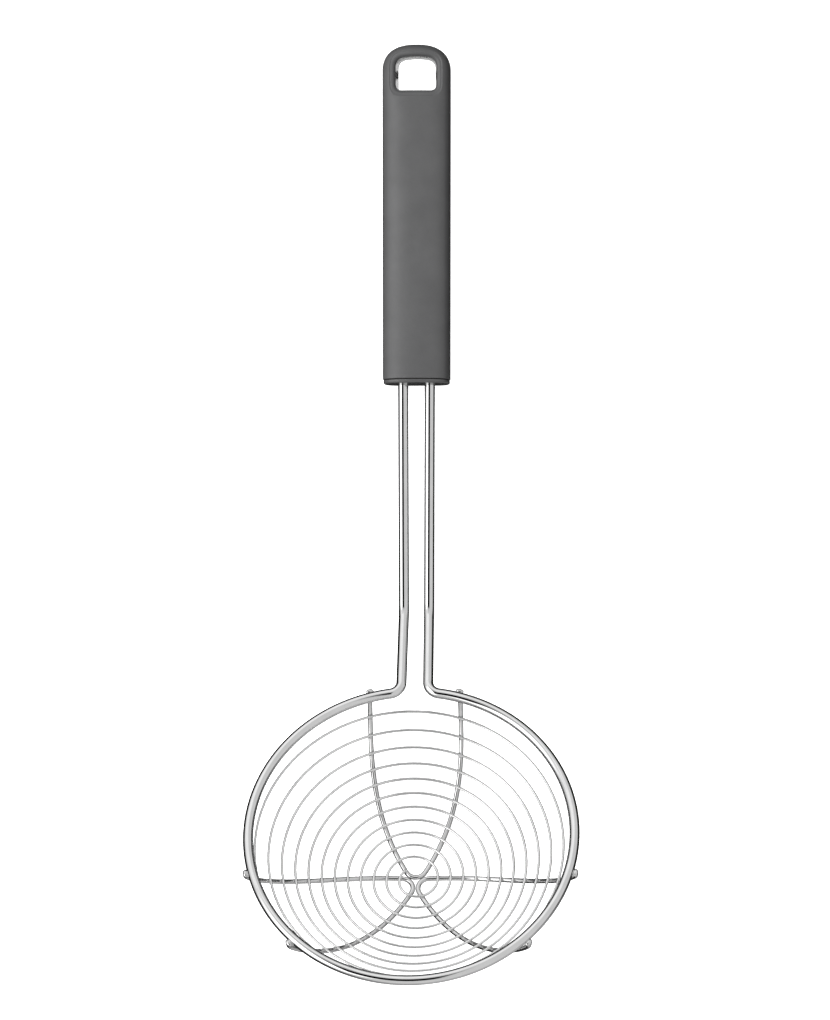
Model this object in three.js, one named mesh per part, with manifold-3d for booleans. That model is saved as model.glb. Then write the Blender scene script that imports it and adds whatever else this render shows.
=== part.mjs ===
// A wire skimmer. One thick wire makes the rim, the two neck rods and the tangs in the handle. Three
// hairpin wires make the ribs of the bowl, and one thin wire is wound over them as a spiral. The handle
// is moulded, with an end cap where the rods enter it and a metal sleeve in its hang hole.
//
// Millimetres, +Z up. The skimmer lies on a table, on its bowl and on the lower end of its handle's flat
// back, with the handle towards +Y. The origin is on the table, under the middle of its bounding box.

import * as THREE from 'three';
import { mergeVertices } from 'three/addons/utils/BufferGeometryUtils.js';
import Module from 'manifold-3d';

const { degToRad } = THREE.MathUtils;

// Frame wire
const RIM_OUTER_DIAMETER = 130;
const FRAME_WIRE_DIAMETER = 3.9;
const UPPER_NECK_LENGTH = 89; // from the end cap to the bend
const LOWER_NECK_LENGTH = 35.4; // from the bend to the rim wire's centre line
const NECK_BEND_ANGLE = degToRad(25);
const NECK_BEND_RADIUS = 12;
const NECK_SPACING_AT_CAP = 10.4; // between the centre lines of the two rods
const NECK_SPACING_AT_BEND = 9.8;
const NECK_SPACING_AT_RIM = 10.4;
const RIM_CORNER_RADIUS = 5; // where a rod turns into the rim
const TANG_LENGTH = 62; // the part of a rod inside the handle

// Hairpin wires
const SUPPORT_WIRE_DIAMETER = 1.7;
const SUPPORT_PLACES = ['handle_side', 'left', 'right']; // one hairpin each
const RIB_DEPTH = 38.2; // from the rim wire's centre line to a hairpin's centre line
const RIB_MOUTH_MARGIN = 1.65; // from the tips out to where the bowl's curve would meet the rim plane
const LEG_SPREAD = 35.2; // between the two legs of a hairpin, at the rim
const LEG_STRAIGHT_LENGTH = 9.8; // the straight stretch of a leg at the rim
const HUB_BEND_RADIUS = 4.2; // the closed end of a hairpin
const HOOK_RADIUS = 5; // where a leg turns upright beside the rim
const TIP_RISE = 0.5; // height of a tip over the rim wire's centre line

// Spiral wire
const SPIRAL_WIRE_DIAMETER = 0.9;
const SPIRAL_FULL_TURNS = 11;
const SPIRAL_START_MARGIN = 0.3; // from the end of a hairpin's closed end to the start of the spiral
const SPIRAL_RIM_INSET = 1.5; // from the rim wire's centre line in to the last turn

// Handle
const GRIP_LENGTH = 130;
const GRIP_WIDTH_AT_CAP = 26.3;
const GRIP_WIDTH_AT_END = 26.7;
const GRIP_THICKNESS = 16;
const GRIP_FRONT_POWER = 2.5; // superellipse exponent: 2 is round, more is squarer
const GRIP_BACK_POWER = 4;
const GRIP_BACK_FLAT_WIDTH = 15;
const GRIP_END_POWER = 2.4;
const GRIP_END_LENGTH = 10.8; // over which the outline closes, seen from the front
const GRIP_END_SIDE_LENGTH = 7; // over which the thickness closes, seen from the side

// Hang hole and its sleeve
const HOLE_FROM_END = 11.8; // from the handle's end to the middle of the hole
const HOLE_WIDTH = 15.9;
const HOLE_HEIGHT = 13.3;
const HOLE_UPPER_CORNER = 3.8;
const HOLE_LOWER_CORNER = 2.6;
const HOLE_ARCH_RISE = 0.5;
const HOLE_BEVEL_WIDTH = 1.5;
const HOLE_BEVEL_DEPTH = 1.6;
const LINER_WALL = 0.8;
const LINER_LIP = 1.3; // moulded lip over each end of the sleeve

// End cap
const CAP_HEIGHT = 2.8;
const CAP_INSET = 0.25; // how far the cap stands in from the grip's sides
const CAP_EDGE_RADIUS = 1.1;
const SPIGOT_LENGTH = 9;
const SPIGOT_INSET = 2.6; // wall of the grip round the cap's spigot, with its clearance

// Clearances
const WELD_GAP = 0.3; // between wires that are welded to each other
const SEAT_GAP = 0.3; // between moulded and metal pieces that sit in each other

// Facets
const FRAME_WIRE_SIDES = 12;
const SUPPORT_WIRE_SIDES = 8;
const SPIRAL_WIRE_SIDES = 6;
const RIM_STEPS = 76;
const BEND_STEPS = 6;
const CORNER_STEPS = 7;
const LEG_STEPS = 14;
const LEG_STRAIGHT_STEPS = 4;
const HOOK_STEPS = 3;
const HUB_STEPS = 8;
const SPIRAL_CHORD_RISE = 0.22; // between a turn's true arc and its straight steps
const GRIP_SECTION_POINTS = 44;
const GRIP_END_RINGS = 9;
const CAP_EDGE_RINGS = 4;
const BORE_SIDES = 16;
const HOLE_CURVE_POINTS = 5;
const SOLVER_PASSES = 30;

const frameRadius = FRAME_WIRE_DIAMETER / 2;
const supportRadius = SUPPORT_WIRE_DIAMETER / 2;
const rimRadius = RIM_OUTER_DIAMETER / 2 - frameRadius;
const capTop = UPPER_NECK_LENGTH + CAP_HEIGHT;
const gripStart = capTop + SEAT_GAP;
const gripEnd = gripStart + GRIP_LENGTH;

const steel = new THREE.MeshStandardMaterial({ color: 0xc8cacc, roughness: 0.16, metalness: 1 });
const spiralSteel = new THREE.MeshStandardMaterial({ color: 0xc2c4c6, roughness: 0.26, metalness: 1 });
const linerSteel = new THREE.MeshStandardMaterial({ color: 0xd4d5d6, roughness: 0.1, metalness: 1 });
const gripPlastic = new THREE.MeshStandardMaterial({ color: 0x55565a, roughness: 0.5, metalness: 0 });
const capPlastic = new THREE.MeshStandardMaterial({ color: 0x525357, roughness: 0.45, metalness: 0 });

// Wires

/** A wire's centre line through given stations, one ring of the wire at each. */
class WirePath extends THREE.Curve {
  constructor(stations) {
    super();
    this.stations = stations;
  }

  getPoint(t, target = new THREE.Vector3()) {
    const place = t * (this.stations.length - 1);
    const index = Math.min(Math.floor(place), this.stations.length - 2);
    return target.lerpVectors(this.stations[index], this.stations[index + 1], place - index);
  }

  getSpacedPoints() {
    return this.stations;
  }

  /** The direction that halves the corner at the nearest station. */
  getTangentAt(u, target = new THREE.Vector3()) {
    const last = this.stations.length - 1;
    const index = Math.round(u * last);
    const here = this.stations[index];
    target.set(0, 0, 0);
    if (index > 0) target.add(here.clone().sub(this.stations[index - 1]).normalize());
    if (index < last) target.add(this.stations[index + 1].clone().sub(here).normalize());
    return target.normalize();
  }
}

/** A round wire along stations. */
function wireGeometry(stations, diameter, sides) {
  const section = [];
  for (let side = 0; side < sides; side += 1) {
    const angle = (2 * Math.PI * side) / sides;
    section.push(new THREE.Vector2(Math.cos(angle), Math.sin(angle)).multiplyScalar(diameter / 2));
  }
  return new THREE.ExtrudeGeometry(new THREE.Shape(section), {
    steps: stations.length - 1,
    extrudePath: new WirePath(stations),
  });
}

/** Points of an arc in the XY plane, first and last included. */
function arcPoints(centreX, centreY, radius, startAngle, endAngle, steps) {
  const points = [];
  for (let step = 0; step <= steps; step += 1) {
    const angle = startAngle + ((endAngle - startAngle) * step) / steps;
    const x = centreX + radius * Math.cos(angle);
    const y = centreY + radius * Math.sin(angle);
    points.push(new THREE.Vector3(x, y, 0));
  }
  return points;
}

/** Points of the arc that rounds the corner of two straight runs. */
function filletPoints(before, corner, after, radius, steps) {
  const incoming = before.clone().sub(corner).normalize();
  const outgoing = after.clone().sub(corner).normalize();
  const halfCorner = incoming.angleTo(outgoing) / 2;
  const centre = incoming.clone().add(outgoing).normalize()
    .multiplyScalar(radius / Math.sin(halfCorner)).add(corner);
  const start = incoming.multiplyScalar(radius / Math.tan(halfCorner)).add(corner).sub(centre);
  const end = outgoing.multiplyScalar(radius / Math.tan(halfCorner)).add(corner).sub(centre);
  const axis = start.clone().cross(end).normalize();
  const sweep = start.angleTo(end);
  const points = [];
  for (let step = 0; step <= steps; step += 1) {
    points.push(start.clone().applyAxisAngle(axis, (sweep * step) / steps).add(centre));
  }
  return points;
}

const acrossX = new THREE.Vector3(1, 0, 0);
const mirroredInX = (point) => new THREE.Vector3(-point.x, point.y, point.z);

// The rim's own frame has its origin at the rim's centre, +Y towards the handle and +Z out of the bowl.
const rimDistance = LOWER_NECK_LENGTH + rimRadius;
const rimCentre = new THREE.Vector3(0, -rimDistance, 0).applyAxisAngle(acrossX, -NECK_BEND_ANGLE);
const fromRim = (point) => point.applyAxisAngle(acrossX, -NECK_BEND_ANGLE).add(rimCentre);

/** The right half of the frame wire, from the end of its tang to the far side of the rim. */
function frameWireHalf() {
  const tangX = NECK_SPACING_AT_CAP / 2;
  const neckX = NECK_SPACING_AT_RIM / 2;
  const tangEnd = new THREE.Vector3(tangX, UPPER_NECK_LENGTH + TANG_LENGTH, 0);
  const capEntry = new THREE.Vector3(tangX, UPPER_NECK_LENGTH, 0);
  const bend = new THREE.Vector3(NECK_SPACING_AT_BEND / 2, 0, 0);

  const cornerX = neckX + RIM_CORNER_RADIUS;
  const cornerY = Math.sqrt((rimRadius + RIM_CORNER_RADIUS) ** 2 - cornerX ** 2);
  const rimStart = Math.atan2(cornerY, cornerX);
  const corner = arcPoints(cornerX, cornerY, RIM_CORNER_RADIUS, Math.PI, Math.PI + rimStart, CORNER_STEPS);
  const rim = arcPoints(0, 0, rimRadius, rimStart, -Math.PI / 2, RIM_STEPS / 2).slice(1);
  const inRimPlane = [...corner, ...rim].map(fromRim);

  const neckBend = filletPoints(capEntry, bend, inRimPlane[0], NECK_BEND_RADIUS, BEND_STEPS);
  return [tangEnd, capEntry, ...neckBend, ...inRimPlane];
}

function frameWireGeometry() {
  const right = frameWireHalf();
  const left = right.slice(0, -1).map(mirroredInX).reverse();
  return wireGeometry([...right, ...left], FRAME_WIRE_DIAMETER, FRAME_WIRE_SIDES);
}

// Hairpin wires, each in the rim's frame with its closed end at the middle and its legs towards +Y
const tipRadius = RIM_OUTER_DIAMETER / 2 + WELD_GAP + supportRadius;
const ribMouth = tipRadius + RIB_MOUTH_MARGIN;
const legX = LEG_SPREAD / 2;
const legCurveStart = Math.sqrt(tipRadius ** 2 - legX ** 2) - LEG_STRAIGHT_LENGTH;

// The closed ends of neighbouring hairpins touch each other round the middle of the bowl.
const hairpinTurn = (2 * Math.PI) / SUPPORT_PLACES.length;
const hubReach = 2 * HUB_BEND_RADIUS + SUPPORT_WIRE_DIAMETER + WELD_GAP;
const hubY = hubReach / (2 * Math.sin(hairpinTurn / 2));

// A leg's arc runs smoothly into its straight stretch and into the closed end.
const legArcRadius = (legX ** 2 + (legCurveStart - hubY) ** 2 - HUB_BEND_RADIUS ** 2)
  / (2 * (legX - HUB_BEND_RADIUS));
const legArcX = legX - legArcRadius;
const hubBendAngle = Math.atan2(hubY - legCurveStart, -legArcX);
const hubEnd = new THREE.Vector2(
  HUB_BEND_RADIUS * Math.cos(hubBendAngle),
  hubY + HUB_BEND_RADIUS * Math.sin(hubBendAngle),
);

/** Height of the hairpins' centre lines: the mean of a parabola and a curve of fourth power. */
function ribHeight(radius) {
  const share = radius / ribMouth;
  return -RIB_DEPTH * (1 - (share ** 2 + share ** 4) / 2);
}

/** Slope of the hairpins, as an angle from the rim plane. */
function ribSlope(radius) {
  const share = radius / ribMouth;
  return Math.atan((RIB_DEPTH / ribMouth) * (share + 2 * share ** 3));
}

/** Angle from +X of the right leg's arc, where it lies this far from the bowl's axis. */
function legAngle(radius) {
  if (radius >= Math.hypot(legX, legCurveStart)) return Math.acos(legX / radius);
  const arcDistance = Math.hypot(legArcX, legCurveStart);
  const cosine = (radius ** 2 + arcDistance ** 2 - legArcRadius ** 2) / (2 * radius * arcDistance);
  return Math.atan2(legCurveStart, legArcX) - Math.acos(cosine);
}

/** The hook at the end of the right leg, from its tip down to where it joins the bowl's curve. */
function hookPoints() {
  let joint = tipRadius;
  for (let pass = 0; pass < SOLVER_PASSES; pass += 1) {
    joint = tipRadius - HOOK_RADIUS * (1 - Math.sin(ribSlope(joint)));
  }
  const slope = ribSlope(joint);
  const uprightHeight = ribHeight(joint) + HOOK_RADIUS * Math.cos(slope);
  const atRadius = (radius, height) => new THREE.Vector3(legX, Math.sqrt(radius ** 2 - legX ** 2), height);
  const points = [atRadius(tipRadius, TIP_RISE)];
  for (let step = 0; step <= HOOK_STEPS; step += 1) {
    const angle = Math.PI / 2 + ((slope - Math.PI / 2) * step) / HOOK_STEPS;
    const radius = tipRadius - HOOK_RADIUS * (1 - Math.sin(angle));
    points.push(atRadius(radius, uprightHeight - HOOK_RADIUS * Math.cos(angle)));
  }
  return points;
}

/** The right half of a hairpin, from its tip to the middle of its closed end. */
function supportWireHalf() {
  const points = hookPoints();
  const hookEnd = points[points.length - 1].y;
  for (let step = 1; step <= LEG_STRAIGHT_STEPS; step += 1) {
    const y = hookEnd + ((legCurveStart - hookEnd) * step) / LEG_STRAIGHT_STEPS;
    points.push(new THREE.Vector3(legX, y, ribHeight(Math.hypot(legX, y))));
  }
  const leg = arcPoints(legArcX, legCurveStart, legArcRadius, 0, hubBendAngle, LEG_STEPS).slice(1);
  const hub = arcPoints(0, hubY, HUB_BEND_RADIUS, hubBendAngle, -Math.PI / 2, HUB_STEPS / 2).slice(1);
  [...leg, ...hub].forEach((point) => {
    points.push(point.setZ(ribHeight(Math.hypot(point.x, point.y))));
  });
  return points;
}

function supportWireStations() {
  const right = supportWireHalf();
  return [...right, ...right.slice(0, -1).map(mirroredInX).reverse()];
}

// Spiral wire, in the rim's frame. It starts on the left leg of the hairpin that points to the handle and
// ends on the lower leg of the left hairpin.
const spiralLift = supportRadius + SPIRAL_WIRE_DIAMETER / 2 + WELD_GAP;

/** Height of the spiral's centre line, which lies on the hairpins. */
function spiralHeight(radius) {
  let ribRadius = radius;
  for (let pass = 0; pass < SOLVER_PASSES; pass += 1) {
    ribRadius = radius + spiralLift * Math.sin(ribSlope(ribRadius));
  }
  return ribHeight(ribRadius) + spiralLift * Math.cos(ribSlope(ribRadius));
}

const onSpiral = (radius, angle) => (
  new THREE.Vector3(radius * Math.cos(angle), radius * Math.sin(angle), spiralHeight(radius))
);

function spiralStations() {
  const startRadius = hubEnd.length() + SPIRAL_START_MARGIN;
  const endRadius = rimRadius - SPIRAL_RIM_INSET;
  const startAngle = Math.PI - legAngle(startRadius);
  const endAngle = hairpinTurn + Math.PI - legAngle(endRadius) + 2 * Math.PI * SPIRAL_FULL_TURNS;
  const stations = [];
  let angle = startAngle;
  while (angle < endAngle) {
    const share = (angle - startAngle) / (endAngle - startAngle);
    const radius = THREE.MathUtils.lerp(startRadius, endRadius, share);
    stations.push(onSpiral(radius, angle));
    angle += 2 * Math.acos(1 - SPIRAL_CHORD_RISE / radius);
  }
  stations.push(onSpiral(endRadius, endAngle));
  return stations;
}

/** The least clear distance between stations of the spiral that lie half a turn or more apart. */
function leastSelfGap(stations, diameter) {
  let least = Infinity;
  for (let first = 0; first < stations.length; first += 1) {
    const turned = new THREE.Vector2(stations[first].x, stations[first].y).angle();
    let swept = 0;
    let previous = turned;
    for (let second = first + 1; second < stations.length; second += 1) {
      const angle = new THREE.Vector2(stations[second].x, stations[second].y).angle();
      swept += (angle - previous + 2 * Math.PI) % (2 * Math.PI);
      previous = angle;
      if (swept > Math.PI) least = Math.min(least, stations[first].distanceTo(stations[second]));
    }
  }
  return least - diameter;
}

// Moulded pieces

/** A closed skin over rings of as many points each, ended by a fan of triangles at each end. */
function loftGeometry(rings, firstPoint, lastPoint) {
  const count = rings[0].length;
  const middle = (ring) => ring
    .reduce((sum, point) => sum.add(point), new THREE.Vector3())
    .divideScalar(ring.length);
  const points = [...rings.flat(), firstPoint ?? middle(rings[0]), lastPoint ?? middle(rings.at(-1))];
  const firstIndex = points.length - 2;
  const lastIndex = points.length - 1;
  const lastRing = (rings.length - 1) * count;
  const triangles = [];
  for (let side = 0; side < count; side += 1) {
    const next = (side + 1) % count;
    triangles.push(firstIndex, next, side);
    triangles.push(lastIndex, lastRing + side, lastRing + next);
    for (let ring = 0; ring < rings.length - 1; ring += 1) {
      const low = ring * count;
      const high = low + count;
      triangles.push(low + side, low + next, high + next);
      triangles.push(low + side, high + next, high + side);
    }
  }
  const geometry = new THREE.BufferGeometry().setFromPoints(points);
  geometry.setIndex(triangles);
  return geometry;
}

/** How much of the full size is left this far from a rounded end, for an end that rounds over a length. */
function endShare(fromEnd, length) {
  const open = Math.max(0, 1 - fromEnd / length);
  return (1 - open ** GRIP_END_POWER) ** (1 / GRIP_END_POWER);
}

/** Half the grip's width and half its thickness at a place along the handle. */
function gripHalfSizes(y) {
  const along = THREE.MathUtils.clamp((y - gripStart) / GRIP_LENGTH, 0, 1);
  const width = THREE.MathUtils.lerp(GRIP_WIDTH_AT_CAP, GRIP_WIDTH_AT_END, along);
  const fromEnd = Math.max(0, gripEnd - y);
  return {
    halfWidth: (width / 2) * endShare(fromEnd, GRIP_END_LENGTH),
    halfThickness: (GRIP_THICKNESS / 2) * endShare(fromEnd, GRIP_END_SIDE_LENGTH),
  };
}

const superellipse = (share, power) => (1 - Math.min(1, Math.abs(share)) ** power) ** (1 / power);

/** Height of a section's crowned front at a distance from its middle. */
const frontHeight = (x, { halfWidth, halfThickness }) => (
  halfThickness * superellipse(x / halfWidth, GRIP_FRONT_POWER)
);

/** Height of a section's back, flat in its middle and rounded to the sides. */
function backHeight(x, { halfWidth, halfThickness }) {
  const flatShare = GRIP_BACK_FLAT_WIDTH / Math.max(GRIP_WIDTH_AT_CAP, GRIP_WIDTH_AT_END);
  const fullDepth = halfThickness / superellipse(flatShare, GRIP_BACK_POWER);
  return -Math.min(halfThickness, fullDepth * superellipse(x / halfWidth, GRIP_BACK_POWER));
}

/** One ring of the handle's section, anticlockwise seen from the end cap. */
function sectionRing(y, sizes) {
  const ring = [];
  for (let index = 0; index < GRIP_SECTION_POINTS; index += 1) {
    const angle = (2 * Math.PI * index) / GRIP_SECTION_POINTS;
    const power = Math.sin(angle) >= 0 ? GRIP_FRONT_POWER : GRIP_BACK_POWER;
    const x = sizes.halfWidth * Math.sign(Math.cos(angle)) * Math.abs(Math.cos(angle)) ** (2 / power);
    const z = Math.sin(angle) >= 0 ? frontHeight(x, sizes) : backHeight(x, sizes);
    ring.push(new THREE.Vector3(x, y, z));
  }
  return ring;
}

/** The handle's section at its lower end, standing in by an inset on all sides. */
function insetRing(y, inset) {
  const { halfWidth, halfThickness } = gripHalfSizes(gripStart);
  return sectionRing(y, { halfWidth: halfWidth - inset, halfThickness: halfThickness - inset });
}

/** The hang hole's outline, grown by a distance on all sides. Its upper side is arched. */
function holeOutline(grow) {
  const halfWidth = HOLE_WIDTH / 2 + grow;
  const halfHeight = HOLE_HEIGHT / 2 + grow;
  const upper = HOLE_UPPER_CORNER + grow;
  const lower = HOLE_LOWER_CORNER + grow;
  const shoulder = halfHeight - HOLE_ARCH_RISE;
  const archStart = shoulder + HOLE_ARCH_RISE / 2;
  const archTop = halfHeight + HOLE_ARCH_RISE / 2;
  const outline = new THREE.Shape();
  outline.moveTo(-halfWidth + lower, -halfHeight);
  outline.lineTo(halfWidth - lower, -halfHeight);
  outline.quadraticCurveTo(halfWidth, -halfHeight, halfWidth, -halfHeight + lower);
  outline.lineTo(halfWidth, shoulder - upper);
  outline.quadraticCurveTo(halfWidth, shoulder, halfWidth - upper, archStart);
  outline.quadraticCurveTo(0, archTop, -halfWidth + upper, archStart);
  outline.quadraticCurveTo(-halfWidth, shoulder, -halfWidth, shoulder - upper);
  outline.lineTo(-halfWidth, -halfHeight + lower);
  outline.quadraticCurveTo(-halfWidth, -halfHeight, -halfWidth + lower, -halfHeight);
  return outline;
}

const holeY = gripEnd - HOLE_FROM_END;

/** One ring round the hang hole, with each point's height from a function of its place on the handle. */
function holeRing(grow, heightAt) {
  const points = holeOutline(grow).getPoints(HOLE_CURVE_POINTS).slice(0, -1);
  return points.map(({ x, y }) => new THREE.Vector3(x, holeY + y, heightAt(x, gripHalfSizes(holeY + y))));
}

// The sleeve ends under the moulded lips, where the handle is thinnest round the hole.
const lipDepth = HOLE_BEVEL_DEPTH + LINER_LIP + SEAT_GAP;
const linerHalfDepth = Math.min(
  ...holeRing(0, frontHeight).map((point) => point.z),
  ...holeRing(0, backHeight).map((point) => -point.z),
) - lipDepth;

const wasm = await Module();
wasm.setup();

/** A solid for cutting, from a closed geometry. */
function solidOf(geometry) {
  const bare = geometry.clone();
  bare.deleteAttribute('normal');
  bare.deleteAttribute('uv');
  const merged = mergeVertices(bare);
  const vertProperties = new Float32Array(merged.attributes.position.array);
  const triVerts = new Uint32Array(merged.index.array);
  return new wasm.Manifold(new wasm.Mesh({ numProp: 3, vertProperties, triVerts }));
}

/** A geometry with other geometries cut out of it. */
function cutGeometry(geometry, cutters) {
  const solid = cutters.reduce((rest, cutter) => rest.subtract(solidOf(cutter)), solidOf(geometry));
  const { vertProperties, triVerts } = solid.getMesh();
  const result = new THREE.BufferGeometry();
  result.setAttribute('position', new THREE.BufferAttribute(vertProperties, 3));
  result.setIndex(new THREE.BufferAttribute(triVerts, 1));
  result.computeVertexNormals();
  return result;
}

/** The clearance bores for the two tangs, between two places along the handle. */
function tangBores(from, to) {
  const boreRadius = frameRadius + SEAT_GAP;
  return [-1, 1].map((side) => {
    const bore = new THREE.CylinderGeometry(boreRadius, boreRadius, to - from, BORE_SIDES);
    return bore.translate((side * NECK_SPACING_AT_CAP) / 2, (from + to) / 2, 0);
  });
}

/** The hang hole right through the handle, with a bevel along its edge on both faces. */
function hangHoleCutter() {
  const beyond = GRIP_THICKNESS;
  return loftGeometry([
    holeRing(HOLE_BEVEL_WIDTH, () => -beyond),
    holeRing(HOLE_BEVEL_WIDTH, backHeight),
    holeRing(0, (x, sizes) => backHeight(x, sizes) + HOLE_BEVEL_DEPTH),
    holeRing(0, (x, sizes) => frontHeight(x, sizes) - HOLE_BEVEL_DEPTH),
    holeRing(HOLE_BEVEL_WIDTH, frontHeight),
    holeRing(HOLE_BEVEL_WIDTH, () => beyond),
  ]);
}

/** The pocket between the moulded lips that holds the sleeve. */
function linerPocketCutter() {
  const pocketHalfDepth = linerHalfDepth + SEAT_GAP;
  const grow = LINER_WALL + SEAT_GAP;
  return loftGeometry([holeRing(grow, () => -pocketHalfDepth), holeRing(grow, () => pocketHalfDepth)]);
}

function gripGeometry() {
  const rings = [sectionRing(gripStart, gripHalfSizes(gripStart))];
  for (let ring = GRIP_END_RINGS; ring > 0; ring -= 1) {
    const angle = (Math.PI / 2) * (ring / GRIP_END_RINGS);
    const y = gripEnd - GRIP_END_LENGTH * (1 - Math.cos(angle) ** (2 / GRIP_END_POWER));
    rings.push(sectionRing(y, gripHalfSizes(y)));
  }
  const endPoint = new THREE.Vector3(0, gripEnd, 0);
  const body = loftGeometry(rings.map((ring) => ring.reverse()), undefined, endPoint);
  const socketFloor = capTop + SPIGOT_LENGTH + SEAT_GAP;
  const socketInset = SPIGOT_INSET - SEAT_GAP;
  const socketRings = [insetRing(capTop, socketInset), insetRing(socketFloor, socketInset)];
  const socket = loftGeometry(socketRings.map((ring) => ring.reverse()));
  const bores = tangBores(capTop, UPPER_NECK_LENGTH + TANG_LENGTH + SEAT_GAP);
  return cutGeometry(body, [socket, ...bores, hangHoleCutter(), linerPocketCutter()]);
}

function endCapGeometry() {
  const rings = [];
  for (let ring = 0; ring < CAP_EDGE_RINGS; ring += 1) {
    const angle = (Math.PI / 2) * (ring / (CAP_EDGE_RINGS - 1));
    const y = UPPER_NECK_LENGTH + CAP_EDGE_RADIUS * (1 - Math.cos(angle));
    rings.push(insetRing(y, CAP_INSET + CAP_EDGE_RADIUS * (1 - Math.sin(angle))));
  }
  rings.push(insetRing(capTop, CAP_INSET));
  rings.push(insetRing(capTop, SPIGOT_INSET));
  rings.push(insetRing(capTop + SPIGOT_LENGTH, SPIGOT_INSET));
  const body = loftGeometry(rings.map((ring) => ring.reverse()));
  const bores = tangBores(UPPER_NECK_LENGTH - CAP_HEIGHT, capTop + SPIGOT_LENGTH + CAP_HEIGHT);
  return cutGeometry(body, bores);
}

function linerGeometry() {
  const outline = holeOutline(LINER_WALL);
  outline.holes.push(holeOutline(0));
  const sleeve = new THREE.ExtrudeGeometry(outline, {
    depth: 2 * linerHalfDepth,
    bevelEnabled: false,
    curveSegments: HOLE_CURVE_POINTS,
  });
  return sleeve.translate(0, 0, -linerHalfDepth);
}

// Assembly

function namedMesh(name, geometry, material) {
  const mesh = new THREE.Mesh(geometry, material);
  mesh.name = name;
  return mesh;
}

const spiral = spiralStations();
const supportStations = supportWireStations();
console.log(`spiral wire: least gap to itself ${leastSelfGap(spiral, SPIRAL_WIRE_DIAMETER).toFixed(2)} mm`);

const bowl = new THREE.Group();
bowl.position.copy(rimCentre);
bowl.rotation.x = -NECK_BEND_ANGLE;
SUPPORT_PLACES.forEach((place, index) => {
  const geometry = wireGeometry(supportStations, SUPPORT_WIRE_DIAMETER, SUPPORT_WIRE_SIDES);
  const support = namedMesh(`support_wire_${place}`, geometry, steel);
  support.rotation.z = hairpinTurn * index;
  bowl.add(support);
});
const winding = wireGeometry(spiral, SPIRAL_WIRE_DIAMETER, SPIRAL_WIRE_SIDES);
bowl.add(namedMesh('spiral_wire', winding, spiralSteel));

const handle = new THREE.Group();
handle.add(namedMesh('handle_grip', gripGeometry(), gripPlastic));
handle.add(namedMesh('handle_end_cap', endCapGeometry(), capPlastic));
const liner = namedMesh('hang_hole_liner', linerGeometry(), linerSteel);
liner.position.y = holeY;
handle.add(liner);

const skimmer = new THREE.Group();
skimmer.add(namedMesh('frame_wire', frameWireGeometry(), steel), bowl, handle);

/** How far the skimmer leans to touch the table with its bowl and its grip's lower back edge. */
function restAngle() {
  const pivotZ = -GRIP_THICKNESS / 2;
  let least = Infinity;
  bowl.children.forEach((wire) => {
    if (!wire.name.startsWith('support_wire')) return;
    supportStations.forEach((station) => {
      const turned = station.clone().applyAxisAngle(new THREE.Vector3(0, 0, 1), wire.rotation.z);
      const { y, z } = fromRim(turned);
      const reach = Math.hypot(gripStart - y, z - pivotZ);
      const angle = Math.atan2(z - pivotZ, gripStart - y) - Math.asin(supportRadius / reach);
      least = Math.min(least, angle);
    });
  });
  return least;
}

skimmer.rotation.x = restAngle();
skimmer.updateMatrixWorld(true);
const box = new THREE.Box3().setFromObject(skimmer, true);
const middle = box.getCenter(new THREE.Vector3());
skimmer.position.set(-middle.x, -middle.y, -box.min.z);

export default skimmer;
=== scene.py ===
# %% [markdown]
# # A wire skimmer
# The skimmer is a kitchen strainer: a thick wire is bent into a round rim and two neck rods, three
# hairpin wires hang in the rim as ribs, a thin wire lies on them as a spiral, and the rods end in a
# moulded handle. The measured solids come first, as a frame that nothing may move. Each visible
# piece is then worked out again in its place, as a fine surface that light runs over smoothly.

# %% Load the measured solids
import math

import bpy
import numpy as np
from mathutils import Matrix, Vector


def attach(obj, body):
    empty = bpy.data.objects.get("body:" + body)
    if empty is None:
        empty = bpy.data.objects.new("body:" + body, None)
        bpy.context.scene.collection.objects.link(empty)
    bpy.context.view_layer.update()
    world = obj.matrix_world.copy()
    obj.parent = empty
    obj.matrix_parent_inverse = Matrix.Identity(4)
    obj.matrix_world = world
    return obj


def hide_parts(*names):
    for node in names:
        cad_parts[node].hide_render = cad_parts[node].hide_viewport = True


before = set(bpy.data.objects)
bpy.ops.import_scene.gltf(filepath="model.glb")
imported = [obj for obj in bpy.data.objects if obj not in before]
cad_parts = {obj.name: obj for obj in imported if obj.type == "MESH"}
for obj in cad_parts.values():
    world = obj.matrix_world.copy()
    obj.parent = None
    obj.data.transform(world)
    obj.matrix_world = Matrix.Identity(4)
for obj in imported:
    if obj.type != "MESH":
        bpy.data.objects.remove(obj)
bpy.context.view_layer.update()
MM = 0.001
print("solids:", sorted(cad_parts))

# %% [markdown]
# ## Three places to stand
# A bent object is easiest to describe in the place where each of its parts is straight. The handle
# and the upper rods are drawn along Y in the skimmer's own frame, with the neck's bend at the
# origin. The rim and the bowl are drawn round the rim's centre, with Z out of the bowl. Two turns
# about X then put everything on the table, which is simpler than working out tilted formulas.

# %% Frames of the rim, the skimmer and the table
NECK_BEND = math.radians(25)
RIM_RADIUS = 62.98 * MM
RIM_DISTANCE = 98.45 * MM
TABLE_LEAN = math.radians(2.2788)
TABLE_SHIFT = np.array([0, -35.511, 4.3315]) * MM


def turn_about_x(points, angle):
    """Turn points about X: y' = y cos a - z sin a, and z' = y sin a + z cos a."""
    x, y, z = np.moveaxis(np.asarray(points, float), -1, 0)
    cosine, sine = math.cos(angle), math.sin(angle)
    return np.stack([x, cosine * y - sine * z, sine * y + cosine * z], axis=-1)


RIM_CENTRE = turn_about_x([0, -RIM_DISTANCE, 0], -NECK_BEND)


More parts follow.
